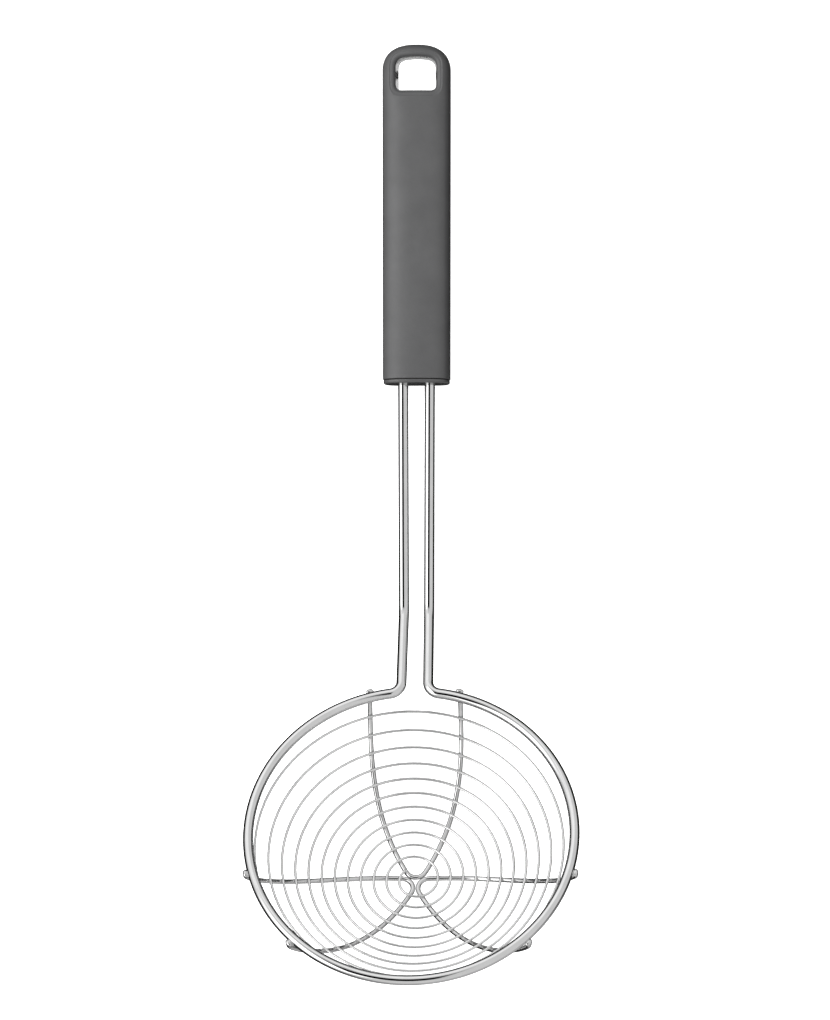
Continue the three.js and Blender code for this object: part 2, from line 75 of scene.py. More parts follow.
def on_table(points):
    """Points of the skimmer's frame on the table: leaned, then moved."""
    return turn_about_x(points, TABLE_LEAN) + TABLE_SHIFT


def bowl_on_table(points):
    """Points of the rim's frame on the table: turned by the neck's bend, moved, then laid down."""
    return on_table(turn_about_x(points, -NECK_BEND) + RIM_CENTRE)


print("rim centre on the table in mm:", np.round(on_table(RIM_CENTRE) / MM, 2))

# %% [markdown]
# ## The camera
# A product photograph is taken from far away with a long lens, so that near and far parts have the
# same scale. The camera stands 5 m from the bend, a few degrees to the right and towards the bowl.
# Its lens follows from the height that has to fill the picture.

# %% Where the camera stands
IMAGE_WIDTH, IMAGE_HEIGHT = 830, 1020
PIXELS_PER_METRE = 2570.1
BEND_PIXEL = np.array([416.5, 612.03])
CAMERA_YAW = math.radians(2.8)
CAMERA_TIP = math.radians(4.154)
CAMERA_DISTANCE = 5.0

level_right = np.array([math.cos(CAMERA_YAW), 0, -math.sin(CAMERA_YAW)])
level_back = np.array([
    math.cos(CAMERA_TIP) * math.sin(CAMERA_YAW),
    -math.sin(CAMERA_TIP),
    math.cos(CAMERA_TIP) * math.cos(CAMERA_YAW),
])
image_right = turn_about_x(level_right, TABLE_LEAN)
camera_back = turn_about_x(level_back, TABLE_LEAN)
image_up = np.cross(camera_back, image_right)

bend_place = on_table([0, 0, 0])
aside, down = np.array([IMAGE_WIDTH / 2, IMAGE_HEIGHT / 2]) - BEND_PIXEL
picture_middle = bend_place + (aside * image_right - down * image_up) / PIXELS_PER_METRE
camera_place = bend_place + CAMERA_DISTANCE * camera_back
print("camera at", np.round(camera_place, 3), "looking at", np.round(picture_middle, 3))

# %% Camera
SENSOR_SIZE = 36.0
NEAREST, FARTHEST = 0.1, 50.0

camera_data = bpy.data.cameras.new("camera")
camera_data.sensor_fit = "AUTO"
camera_data.sensor_width = SENSOR_SIZE
camera_data.lens = SENSOR_SIZE * CAMERA_DISTANCE * PIXELS_PER_METRE / IMAGE_HEIGHT
camera_data.clip_start = NEAREST
camera_data.clip_end = FARTHEST
camera = bpy.data.objects.new("camera", camera_data)
bpy.context.scene.collection.objects.link(camera)
looking_back = camera_place - picture_middle
looking_back /= np.linalg.norm(looking_back)
looking_up = np.cross(looking_back, image_right)
looking_up /= np.linalg.norm(looking_up)
looking_right = np.cross(looking_up, looking_back)
axes = Matrix(np.stack([looking_right, looking_up, looking_back], axis=1).tolist()).to_4x4()
camera.matrix_world = Matrix.Translation(camera_place.tolist()) @ axes
bpy.context.scene.camera = camera
print("lens in mm:", round(camera_data.lens, 1))

# %% [markdown]
# ## From an array to a mesh
# Almost every piece here is a stack of rings: a wire is a circle carried along a path, and the
# handle is an outline that changes along its length. One helper joins neighbouring rings with quads
# and closes the ends with a pole. Another works out the volume of what was made. A negative volume
# means that the faces point inwards, so they are turned over. That is safer than thinking about the
# order of every ring.

# %% Rings and poles


def ring_skin(rings, looped=False):
    """Faces over rings of equal count: quads between neighbours, and a fan to a pole at each end.

    A pole is the mean of its ring. A looped stack joins its last ring to its first and has none.
    Returns vertices, quads, triangles, and the (ring, side) place of every quad corner.
    """
    count, sides = rings.shape[:2]
    steps = count if looped else count - 1
    ring, side = np.meshgrid(np.arange(steps), np.arange(sides), indexing="ij")
    corner_ring = np.stack([ring, ring, ring + 1, ring + 1], axis=-1).reshape(-1, 4)
    corner_side = np.stack([side, side + 1, side + 1, side], axis=-1).reshape(-1, 4)
    corners = np.stack([corner_ring, corner_side], axis=-1)
    quads = (corner_ring % count) * sides + corner_side % sides
    vertices = rings.reshape(-1, 3)
    if looped:
        return vertices, quads, np.zeros((0, 3), int), corners
    here = np.arange(sides)
    following = (here + 1) % sides
    last_ring = (count - 1) * sides
    first_pole, last_pole = np.full(sides, len(vertices)), np.full(sides, len(vertices) + 1)
    start_fan = np.stack([first_pole, following, here], axis=1)
    end_fan = np.stack([last_pole, last_ring + here, last_ring + following], axis=1)
    vertices = np.vstack([vertices, rings[0].mean(axis=0), rings[-1].mean(axis=0)])
    return vertices, quads, np.vstack([start_fan, end_fan]), corners


def enclosed_volume(vertices, quads, triangles):
    """The sum over all triangles of a . (b x c) / 6, positive where the faces point outwards."""
    split = np.vstack([quads[:, [0, 1, 2]], quads[:, [0, 2, 3]], triangles])
    a, b, c = (vertices[split[:, corner]] for corner in range(3))
    return float((a * np.cross(b, c)).sum() / 6)


# %% Pieces


def new_piece(name, vertices, quads, triangles, quad_uv=None):
    """A mesh object at the origin from arrays, right side out and smooth, with its UV map."""
    volume = enclosed_volume(vertices, quads, triangles)
    if volume < 0:
        quads, triangles = quads[:, ::-1], triangles[:, ::-1]
        quad_uv = None if quad_uv is None else quad_uv[:, ::-1]
    mesh = bpy.data.meshes.new(name)
    mesh.from_pydata(vertices.tolist(), [], quads.tolist() + triangles.tolist())
    if quad_uv is not None:
        fan_uv = np.zeros((3 * len(triangles), 2))
        layer = mesh.uv_layers.new(name="along_and_round")
        layer.data.foreach_set("uv", np.vstack([quad_uv.reshape(-1, 2), fan_uv]).ravel())
    mesh.shade_smooth()
    mesh.update()
    piece = bpy.data.objects.new(name, mesh)
    bpy.context.scene.collection.objects.link(piece)
    print(f"{name}: {len(quads) * 2 + len(triangles)} triangles, {abs(volume) * 1e6:.2f} cm3")
    return piece


def finish_piece(piece, material, slot, *nodes):
    """Give a piece its finish, its ride with the skimmer and the solids it stands for. The slot
    argument is not used.
    """
    piece.data.materials.clear()
    piece.data.materials.append(material)
    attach(piece, "root")
    if nodes:
        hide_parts(*nodes)


# %% [markdown]
# ## How a wire is drawn
# A wire needs a path, a thickness and a steady idea of which way is up, or its rings would twist.
# Each path here brings its own normals: the rim's, or the bowl's. The cross product of the path's
# direction and the normal gives the third direction. The UV map runs along the wire in metres and
# once round it, so the drawing marks of the steel can follow the wire.

# %% Paths
FULL_TURN = 2 * math.pi
TINY_SHARE = 0.01


def path_lengths(points):
    """How far along a path each point lies: the running sum of the steps between the points."""
    return np.concatenate([[0], np.cumsum(np.linalg.norm(np.diff(points, axis=0), axis=1))])


def from_nearer_end(lengths):
    """The distance of each point of a path from the path's nearer end."""
    return np.minimum(lengths, lengths[-1] - lengths)


def arc(centre_x, centre_y, radius, start, end, count):
    """Points on a circle: the centre plus radius times (cos a, sin a), with a in equal steps."""
    angle = np.linspace(start, end, count)
    return np.stack([centre_x + radius * np.cos(angle), centre_y + radius * np.sin(angle)], axis=1)


def with_mirror(half, flip=(-1, 1, 1)):
    """A whole path from its right half: the half, then its mirror image in x taken backwards."""
    return np.vstack([half, half[-2::-1] * flip])


def domed(distance, length):
    """How much of its full size a wire has near a rounded end: a quarter of an ellipse."""
    return np.sqrt(np.clip(1 - np.clip(1 - distance / length, 0, 1) ** 2, TINY_SHARE ** 2, 1))


# %% Wires along paths


def wire(name, path, normals, half_width, half_height, sides, place):
    """An ellipse carried along a path: path + w cos v * side + h sin v * up, with v round the wire.

    side is direction x normal, and up is side x direction. place maps the points to the table.
    """
    direction = np.gradient(path, axis=0)
    direction /= np.linalg.norm(direction, axis=1, keepdims=True)
    side = np.cross(direction, normals)
    side /= np.linalg.norm(side, axis=1, keepdims=True)
    up = np.cross(side, direction)
    angle = np.linspace(0, FULL_TURN, sides, endpoint=False)
    across = np.broadcast_to(half_width, len(path))[:, None] * np.cos(angle)
    upward = np.broadcast_to(half_height, len(path))[:, None] * np.sin(angle)
    rings = path[:, None] + across[..., None] * side[:, None] + upward[..., None] * up[:, None]
    vertices, quads, triangles, corners = ring_skin(rings)
    along = path_lengths(path)[corners[..., 0]]
    quad_uv = np.stack([along, corners[..., 1] / sides], axis=-1)
    return new_piece(name, place(vertices), quads, triangles, quad_uv)


# %% [markdown]
# ## The frame wire
# One wire about 4 mm thick makes the rim, the neck and the tangs that are moulded into the handle. A
# wire former makes it flat first and then bends the neck over an edge. The script does the same: it
# draws the flat outline from lines and arcs, and one formula bends it. The two rods come slightly
# closer to each other at the bend.

# %% The neck's bend
NECK_BEND_RADIUS = 12 * MM


def bend_neck(flat):
    """Bend a flat path about X at y = 0: straight, then an arc, then straight again and rising.

    Returns the points and the normals of the bent plane.
    """
    reach = NECK_BEND_RADIUS * math.tan(NECK_BEND / 2)
    x, y = flat.T
    angle = NECK_BEND * np.clip((reach - y) / (2 * reach), 0, 1)
    before = np.maximum(y - reach, 0)
    past = np.minimum(y + reach, 0)
    bent_y = reach - NECK_BEND_RADIUS * np.sin(angle) + before + past * math.cos(NECK_BEND)
    bent_z = NECK_BEND_RADIUS * (1 - np.cos(angle)) - past * math.sin(NECK_BEND)
    normals = np.stack([np.zeros_like(angle), np.sin(angle), np.cos(angle)], axis=1)
    return np.stack([x, bent_y, bent_z], axis=1), normals


# %% Frame wire
FRAME_WIRE_RADIUS = 2.02 * MM
FRAME_WIRE_SIDES = 32
CAP_Y = 89 * MM
TANG_END_Y = 151 * MM
BEND_ZONE = 4 * MM
ROD_X_AT_CAP = 5.2 * MM
ROD_X_AT_BEND = 4.9 * MM
RIM_CORNER_RADIUS = 5 * MM
TANG_STEPS, UPPER_ROD_STEPS, BEND_STEPS, LOWER_ROD_STEPS = 12, 40, 24, 14
CORNER_STEPS, RIM_STEPS = 26, 150

corner_x = ROD_X_AT_CAP + RIM_CORNER_RADIUS
corner_y = math.sqrt((RIM_RADIUS + RIM_CORNER_RADIUS) ** 2 - corner_x ** 2)
rim_start = math.atan2(corner_y, corner_x)
rod_end_y = corner_y - RIM_DISTANCE
rod_y = np.concatenate([
    np.linspace(TANG_END_Y, CAP_Y, TANG_STEPS)[:-1],
    np.linspace(CAP_Y, BEND_ZONE, UPPER_ROD_STEPS)[:-1],
    np.linspace(BEND_ZONE, -BEND_ZONE, BEND_STEPS)[:-1],
    np.linspace(-BEND_ZONE, rod_end_y, LOWER_ROD_STEPS),
])
rod_x = np.interp(rod_y, [rod_end_y, 0, CAP_Y], [ROD_X_AT_CAP, ROD_X_AT_BEND, ROD_X_AT_CAP])
corner = arc(corner_x, rod_end_y, RIM_CORNER_RADIUS, math.pi, math.pi + rim_start, CORNER_STEPS)
rim = arc(0, -RIM_DISTANCE, RIM_RADIUS, rim_start, -math.pi / 2, RIM_STEPS)
flat_half = np.vstack([np.stack([rod_x, rod_y], axis=1), corner[1:], rim[1:]])
frame_path, frame_normals = bend_neck(with_mirror(flat_half, flip=(-1, 1)))
frame_wire = wire(
    "frame_wire_steel", frame_path, frame_normals,
    FRAME_WIRE_RADIUS, FRAME_WIRE_RADIUS, FRAME_WIRE_SIDES, on_table,
)
print("its length in mm:", round(path_lengths(frame_path)[-1] / MM))

# %% [markdown]
# ## The hairpin ribs
# Three hairpins carry the bowl. Each has two legs that run from the rim down to the middle and meet
# in a small bend. Each leg ends in a hook that stands up outside the rim, with a tip that the weld
# has flattened and pressed against it. Seen from above, a leg is a straight stretch, an arc and the
# small bend. From the side it follows the bowl's curve. So the plan comes first, and the height is a
# function of the distance from the bowl's axis.

# %% The bowl's curve
RIB_DEPTH = 38.08 * MM
BOWL_MOUTH = 67.8 * MM


def rib_height(radius):
    """The bowl's curve: minus its depth times (1 - (u^2 + u^4) / 2), u being radius / mouth."""
    share = radius / BOWL_MOUTH
    return -RIB_DEPTH * (1 - (share ** 2 + share ** 4) / 2)


def rib_slope(radius):
    """The angle of that curve, from its derivative: depth / mouth times (u + 2 u^3)."""
    share = radius / BOWL_MOUTH
    return np.arctan(RIB_DEPTH / BOWL_MOUTH * (share + 2 * share ** 3))


print("the bowl's slope at the rim in degrees:", round(math.degrees(rib_slope(RIM_RADIUS)), 1))

# %% A leg seen from above
TIP_RADIUS = 66.15 * MM
LEG_X = 17.6 * MM
LEG_STRAIGHT = 9.8 * MM
HUB_BEND_RADIUS = 4.2 * MM
HUB_Y = 10.4 * MM / math.sqrt(3)

leg_curve_y = math.sqrt(TIP_RADIUS ** 2 - LEG_X ** 2) - LEG_STRAIGHT
leg_reach = leg_curve_y - HUB_Y
leg_square = LEG_X ** 2 + leg_reach ** 2 - HUB_BEND_RADIUS ** 2
leg_arc_radius = leg_square / (2 * (LEG_X - HUB_BEND_RADIUS))
leg_arc_x = LEG_X - leg_arc_radius
hub_bend_angle = math.atan2(-leg_reach, -leg_arc_x)
print("leg arc radius in mm:", round(leg_arc_radius / MM, 2))

# %% Half a hairpin
HOOK_RADIUS = 5 * MM
TIP_RISE = 0.7 * MM
TIP_STEPS, HOOK_STEPS, STRAIGHT_STEPS, LEG_STEPS, HUB_STEPS = 22, 16, 12, 60, 20
SETTLING_ROUNDS = 40


def hairpin_half():
    """The right half of a hairpin in the rim's frame, from tip to middle, with its slopes.

    The hook joins the leg where both have the same slope. That place is found by putting it into
    its own formula again and again, until it settles.
    """
    joint = TIP_RADIUS
    for _ in range(SETTLING_ROUNDS):
        joint = TIP_RADIUS - HOOK_RADIUS * (1 - math.sin(rib_slope(joint)))
    joint_slope = float(rib_slope(joint))
    hook_slope = np.linspace(math.pi / 2, joint_slope, HOOK_STEPS)
    hook_radius = TIP_RADIUS - HOOK_RADIUS * (1 - np.sin(hook_slope))
    hook_z = rib_height(joint) + HOOK_RADIUS * (math.cos(joint_slope) - np.cos(hook_slope))
    tip_z = np.linspace(TIP_RISE, hook_z[0], TIP_STEPS)[:-1]
    radius = np.concatenate([np.full(len(tip_z), TIP_RADIUS), hook_radius])
    hook = np.stack([np.full(len(radius), LEG_X), np.sqrt(radius ** 2 - LEG_X ** 2)], axis=1)
    straight_y = np.linspace(hook[-1, 1], leg_curve_y, STRAIGHT_STEPS)[1:]
    straight = np.stack([np.full(len(straight_y), LEG_X), straight_y], axis=1)
    leg = arc(leg_arc_x, leg_curve_y, leg_arc_radius, 0, hub_bend_angle, LEG_STEPS)[1:]
    hub = arc(0, HUB_Y, HUB_BEND_RADIUS, hub_bend_angle, -math.pi / 2, HUB_STEPS)[1:]
    bowl = np.vstack([straight, leg, hub])
    bowl_radius = np.hypot(*bowl.T)
    height = np.concatenate([tip_z, hook_z, rib_height(bowl_radius)])
    upright = np.full(len(tip_z), math.pi / 2)
    slope = np.concatenate([upright, hook_slope, rib_slope(bowl_radius)])
    return np.column_stack([np.vstack([hook, bowl]), height]), slope


half_path, half_slope = hairpin_half()
print("half a hairpin's length in mm:", round(path_lengths(half_path)[-1] / MM, 1))

# %% Three hairpins
RIB_RADIUS = 0.97 * MM
RIB_SIDES = 16
TIP_DOME = 1.0 * MM
TIP_SWELL = np.array([0.8, 0.1]) * MM
TIP_SWELL_LENGTH = 2.2 * MM
TIP_PRESS = 0.5 * MM
TIP_PRESS_LENGTH = 7 * MM
HAIRPIN_TURNS = np.radians([0, 120, 240])


def bowl_normals(points, slope):
    """The bowl's inward normal: minus sin(slope) along the radius, and cos(slope) up."""
    outward = points[..., :2] / np.linalg.norm(points[..., :2], axis=-1, keepdims=True)
    return np.concatenate(
        [-np.sin(slope)[..., None] * outward, np.cos(slope)[..., None]], axis=-1
    )


def turn_about_z(points, angle):
    """Turn points about the bowl's axis: x' = x cos a - y sin a, and y' = x sin a + y cos a."""
    x, y, z = np.moveaxis(points, -1, 0)
    cosine, sine = np.cos(angle), np.sin(angle)
    return np.stack([x * cosine - y * sine, x * sine + y * cosine, z], axis=-1)


hairpin_path = with_mirror(half_path)
hairpin_slope = np.concatenate([half_slope, half_slope[-2::-1]])
hairpin_normals = bowl_normals(hairpin_path, hairpin_slope)
from_tip = from_nearer_end(path_lengths(hairpin_path))
tip_swell = np.exp(-(from_tip / TIP_SWELL_LENGTH) ** 2)
rib_width, rib_thickness = (
    (RIB_RADIUS + swell * tip_swell) * domed(from_tip, TIP_DOME) for swell in TIP_SWELL
)
tip_press = TIP_PRESS * np.exp(-(from_tip / TIP_PRESS_LENGTH) ** 2)
hairpin_path += hairpin_normals * tip_press[:, None]
hairpins = [
    wire(
        f"hairpin_rib_{place}",
        turn_about_z(hairpin_path, turn), turn_about_z(hairpin_normals, turn),
        rib_width, rib_thickness, RIB_SIDES, bowl_on_table,
    )
    for place, turn in zip(("handle_side", "left", "right"), HAIRPIN_TURNS)
]

# %% [markdown]
# ## The spiral
# A thin wire is wound over the hairpins from the middle of the bowl to the rim and is spot welded at
# every crossing. It could be modelled as rings, but the real one is a single wire, and its start and
# end show. Its radius grows evenly with the angle, and it lies on the hairpins: each point is lifted
# from the ribs' curve along the bowl's normal by the two radii.

# %% Where the legs and the spiral lie


def leg_angle(radius):
    """The angle from +X of the right leg this far from the axis: on its straight, or on its arc."""
    straight = np.arccos(np.clip(LEG_X / radius, -1, 1))
    arc_distance = math.hypot(leg_arc_x, leg_curve_y)
    cosine = (radius ** 2 + arc_distance ** 2 - leg_arc_radius ** 2) / (2 * radius * arc_distance)
    curved = math.atan2(leg_curve_y, leg_arc_x) - np.arccos(np.clip(cosine, -1, 1))
    return np.where(radius >= math.hypot(LEG_X, leg_curve_y), straight, curved)


def lifted_height(radius, lift):
    """The height of a wire that lies on the ribs, found by settling on the rib point under it."""
    rib_radius = np.array(radius, float)
    for _ in range(SETTLING_ROUNDS):
        rib_radius = radius + lift * np.sin(rib_slope(rib_radius))
    return rib_height(rib_radius) + lift * np.cos(rib_slope(rib_radius))


def round_axis(radius, angle, height):
    """Points round the bowl's axis: (r cos a, r sin a, z)."""
    return np.stack([radius * np.cos(angle), radius * np.sin(angle), height], axis=1)


hub_end = math.hypot(
    HUB_BEND_RADIUS * math.cos(hub_bend_angle), HUB_Y + HUB_BEND_RADIUS * math.sin(hub_bend_angle)
)
print("the hairpins' bends end in mm from the axis:", round(hub_end / MM, 2))

# %% Spiral wire
SPIRAL_RADIUS = 0.53 * MM
SPIRAL_SIDES = 12
SPIRAL_FULL_TURNS = 11
SPIRAL_STEPS_PER_TURN = 110
SPIRAL_START_MARGIN = 0.3 * MM
SPIRAL_RIM_INSET = 1.5 * MM
WELD_SINK = 0.05 * MM

spiral_start = hub_end + SPIRAL_START_MARGIN
spiral_end = RIM_RADIUS - SPIRAL_RIM_INSET
start_angle = math.pi - float(leg_angle(np.array(spiral_start)))
end_angle = (
    HAIRPIN_TURNS[1] + math.pi - float(leg_angle(np.array(spiral_end)))
    + FULL_TURN * SPIRAL_FULL_TURNS
)
growth = (spiral_end - spiral_start) / (end_angle - start_angle)
turn_count = (end_angle - start_angle) / FULL_TURN
spiral_angle = np.linspace(start_angle, end_angle, round(turn_count * SPIRAL_STEPS_PER_TURN))
spiral_r = spiral_start + growth * (spiral_angle - start_angle)
spiral_lift = RIB_RADIUS + SPIRAL_RADIUS - WELD_SINK
spiral_path = round_axis(spiral_r, spiral_angle, lifted_height(spiral_r, spiral_lift))
along_spiral = path_lengths(spiral_path)
spiral_size = SPIRAL_RADIUS * domed(from_nearer_end(along_spiral), SPIRAL_RADIUS)
spiral = wire(
    "spiral_wire_steel", spiral_path, bowl_normals(spiral_path, rib_slope(spiral_r)),
    spiral_size, spiral_size, SPIRAL_SIDES, bowl_on_table,
)
print("turns:", round(turn_count, 2), "length in mm:", round(along_spiral[-1] / MM))

# %% [markdown]
# ## The weld spots
# Spot welding presses two hot wires into each other, and a little metal is squeezed out round the
# contact. Without it, crossing wires look as if they pass through each other. Each spot is a small
# flattened ball. All balls are made at once, by carrying one ball's points along three directions at
# every crossing.

# %% One ball, many places
SPOT_LATITUDES, SPOT_SIDES = 7, 10

latitude = np.linspace(-math.pi / 2, math.pi / 2, SPOT_LATITUDES + 2)[1:-1]
longitude = np.linspace(0, FULL_TURN, SPOT_SIDES, endpoint=False)
unit_ball = np.stack([
    np.cos(latitude)[:, None] * np.cos(longitude),
    np.cos(latitude)[:, None] * np.sin(longitude),
    np.broadcast_to(np.sin(latitude)[:, None], (SPOT_LATITUDES, SPOT_SIDES)),
], axis=-1)
ball_points, ball_quads, ball_fans, _ = ring_skin(unit_ball)
ball_points[-2:] = [[0, 0, -1], [0, 0, 1]]


def weld_spots(name, centres, first, second, third, half_sizes):
    """A piece of many balls: each is its centre + a x first + b y second + c z third."""
    axes_of_each = np.stack([first, second, third], axis=1)
    reach = np.einsum("pk,nkd->npd", ball_points * half_sizes, axes_of_each)
    points = (centres[:, None] + reach).reshape(-1, 3)
    offset = (np.arange(len(centres)) * len(ball_points))[:, None, None]
    quads, fans = (ball_quads + offset).reshape(-1, 4), (ball_fans + offset).reshape(-1, 3)
    return new_piece(name, bowl_on_table(points), quads, fans)


def along_circle(angle):
    """The direction along a circle round the bowl's axis: (-sin a, cos a, 0)."""
    return np.stack([-np.sin(angle), np.cos(angle), np.zeros_like(angle)], axis=1)


print("points in one ball:", len(ball_points))

# %% Spots where the spiral crosses the ribs
SPIRAL_SPOT = np.array([0.8, 0.8, 0.36]) * MM
END_TOLERANCE = 0.001 * MM

laps = np.arange(-1, SPIRAL_FULL_TURNS + 2)
turn, leg_side, lap = np.meshgrid(HAIRPIN_TURNS, [0, 1], laps, indexing="ij")
crossing_r = np.full(turn.shape, spiral_start)
for _ in range(SETTLING_ROUNDS):
    right_leg = leg_angle(np.clip(crossing_r, hub_end, TIP_RADIUS))
    this_leg = np.where(leg_side == 1, math.pi - right_leg, right_leg)
    crossing_angle = turn + this_leg + FULL_TURN * lap
    crossing_r = spiral_start + growth * (crossing_angle - start_angle)
after_start = crossing_r > spiral_start - END_TOLERANCE
on_wire = after_start & (crossing_r < spiral_end + END_TOLERANCE)
crossing_r, crossing_angle = crossing_r[on_wire], crossing_angle[on_wire]
crossings = round_axis(crossing_r, crossing_angle, lifted_height(crossing_r, RIB_RADIUS))
crossing_up = bowl_normals(crossings, rib_slope(crossing_r))
crossing_along = along_circle(crossing_angle)
spiral_spots = weld_spots(
    "spiral_weld_spots", crossings,
    crossing_along, np.cross(crossing_up, crossing_along), crossing_up, SPIRAL_SPOT,
)
print("crossings welded:", len(crossings))

# %% Spots where the hooks meet the rim
RIM_SPOT = np.array([2.0, 0.8, 0.4]) * MM
RIM_SPOT_OUT = 0.1 * MM
RIM_SPOT_DROP = 0.6 * MM

tip_turn = np.arcsin(LEG_X / TIP_RADIUS) * np.array([-1, 1])
tip_angle = (HAIRPIN_TURNS[:, None] + math.pi / 2 + tip_turn).ravel()
tip_out = round_axis(1.0, tip_angle, np.zeros_like(tip_angle))
upright = np.broadcast_to([0.0, 0.0, 1.0], tip_out.shape)
spot_place = tip_out * (RIM_RADIUS + FRAME_WIRE_RADIUS + RIM_SPOT_OUT) - upright * RIM_SPOT_DROP
rim_spots = weld_spots(
    "rim_weld_spots", spot_place, along_circle(tip_angle), upright, tip_out, RIM_SPOT
)
print("hooks welded:", len(tip_angle))

# %% [markdown]
# ## The handle
# The grip is one moulding: crowned in front, flat behind, and rounded at its end like a tongue. Its
# section is a superellipse, |x/w|^n + |z/h|^n = 1, which goes from an ellipse to a rounded box as n
# grows. Half the section uses one n and half another. The same formula closes the end. A subdivided
# cube would need many loops to get there, and a formula is exact.

# %% The grip's sizes
GRIP_START = 90.7 * MM
GRIP_END = 222.1 * MM
GRIP_WIDTH_AT_CAP = 26.3 * MM
GRIP_WIDTH_AT_END = 26.7 * MM
GRIP_HALF_THICKNESS = 8 * MM
END_LENGTH = 10.8 * MM
END_SIDE_LENGTH = 7 * MM
END_POWER = 2.4


def superellipse(share, power):
    """The height of a superellipse of unit size at a share of its half width: (1 - |s|^n)^(1/n)."""
    return (1 - np.minimum(1, np.abs(share)) ** power) ** (1 / power)


def end_share(from_end, length):
    """How much of the full size is left near the rounded end, as a quarter of a superellipse."""
    return superellipse(np.maximum(0, 1 - np.maximum(from_end, 0) / length), END_POWER)


def grip_half_sizes(y):
    """Half the width and half the thickness of the grip at a place along it."""
    along = np.clip((y - GRIP_START) / (GRIP_END - GRIP_START), 0, 1)
    half_width = (GRIP_WIDTH_AT_CAP + (GRIP_WIDTH_AT_END - GRIP_WIDTH_AT_CAP) * along) / 2
    width_share = end_share(GRIP_END - y, END_LENGTH)
    thickness_share = end_share(GRIP_END - y, END_SIDE_LENGTH)
    return half_width * width_share, GRIP_HALF_THICKNESS * thickness_share


print("the grip's length in mm:", round((GRIP_END - GRIP_START) / MM, 1))

# %% The grip's section
FRONT_POWER, BACK_POWER = 2.5, 4.0
BACK_FLAT_SHARE = 15 * MM / GRIP_WIDTH_AT_END
SECTION_SIDES = 144
DENSE_STEPS = 8001


def front_height(x, half_width, half_thickness):
    """The crowned front: half the thickness times a superellipse of x."""
    return half_thickness * superellipse(x / half_width, FRONT_POWER)


def back_height(x, half_width, half_thickness):
    """The back: a squarer superellipse, cut off flat over the middle 15 mm."""
    full_depth = half_thickness / superellipse(BACK_FLAT_SHARE, BACK_POWER)
    return -np.minimum(half_thickness, full_depth * superellipse(x / half_width, BACK_POWER))


def section_points(y, half_width, half_thickness, angle):
    """Rings of the section: x = w sign(cos a) |cos a|^(2/n), and z from the front or the back."""
    y, half_width, half_thickness = (
        np.asarray(value, float)[..., None] for value in (y, half_width, half_thickness)
    )
    cosine, sine = np.cos(angle), np.sin(angle)
    power = np.where(sine >= 0, FRONT_POWER, BACK_POWER)
    x = half_width * np.sign(cosine) * np.abs(cosine) ** (2 / power)
    front = front_height(x, half_width, half_thickness)
    back = back_height(x, half_width, half_thickness)
    return np.stack([x, np.broadcast_to(y, x.shape), np.where(sine >= 0, front, back)], axis=-1)


dense_angle = np.linspace(0, FULL_TURN, DENSE_STEPS)
dense_section = section_points(0, GRIP_WIDTH_AT_CAP / 2, GRIP_HALF_THICKNESS, dense_angle)
section_length = path_lengths(dense_section)
even_length = np.linspace(0, section_length[-1], SECTION_SIDES, endpoint=False)
section_angle = np.interp(even_length, section_length, dense_angle)
print("the section's girth in mm:", round(section_length[-1] / MM, 1))

# %% [markdown]
# ## Cutting a moulding
# A mould has cores that leave holes in the plastic. Blender's Boolean modifier does the same with
# cutters, which are stacks of rings as well. The result is kept as the piece's own mesh, and its
# edges are marked sharp by their angle, so that smooth shading doesn't run over them.

# %% Stacks and cutters
EASE = 0.05 * MM
SHARP_ANGLE = math.radians(38)


def stack(name, rings):
    """A closed piece over a list or array of rings in the skimmer's frame."""
    vertices, quads, triangles, _ = ring_skin(np.asarray(rings))
    return new_piece(name, on_table(vertices), quads, triangles)


def bores(start, end):
    """Cutters for the two tangs: a circle carried along Y on each side of the middle."""
    angle = np.linspace(0, FULL_TURN, FRAME_WIRE_SIDES, endpoint=False)
    radius = FRAME_WIRE_RADIUS + EASE
    circle = np.stack([np.cos(angle), np.zeros_like(angle), np.sin(angle)], axis=1) * radius
    ends = circle + np.array([start, end])[:, None, None] * [0, 1, 0]
    return [stack("bore", ends + [side * ROD_X_AT_CAP, 0, 0]) for side in (-1, 1)]


def cut_away(piece, cutters):
    """Take cutters out of a piece with Boolean modifiers and keep the result as its own mesh."""
    for cutter in cutters:
        modifier = piece.modifiers.new("cut", "BOOLEAN")
        modifier.operation = "DIFFERENCE"
        modifier.solver = "EXACT"
        modifier.object = cutter
    bpy.context.view_layer.update()
    cut = piece.evaluated_get(bpy.context.evaluated_depsgraph_get())
    mesh = bpy.data.meshes.new_from_object(cut)
    piece.modifiers.clear()
    piece.data = mesh
    for cutter in cutters:
        bpy.data.objects.remove(cutter)
    mesh.shade_smooth()
    mesh.set_sharp_from_angle(angle=SHARP_ANGLE)
    print(f"{piece.name} after cutting: {len(mesh.polygons)} faces")


# %% [markdown]
# ## The hang hole
# The hole is a rounded square with an arched upper side. A dished bevel with a small step runs along
# its edge, and it narrows a little towards the back, so that the mould's core comes out. A metal
# sleeve lines it, held in a pocket between two moulded lips. The outline is drawn as curves and then
# divided at equal distances, so that a larger copy of it has matching points. The cutters for the
# hole and its pocket are stacks of such outlines.

# %% The hole's outline
HOLE_Y = GRIP_END - 11.8 * MM
HOLE_HALF_WIDTH = 7.95 * MM
HOLE_HALF_HEIGHT = 6.65 * MM
HOLE_UPPER_CORNER = 3.8 * MM
HOLE_LOWER_CORNER = 2.6 * MM
HOLE_ARCH_RISE = 0.5 * MM
HOLE_POINTS = 120
CURVE_POINTS = 25


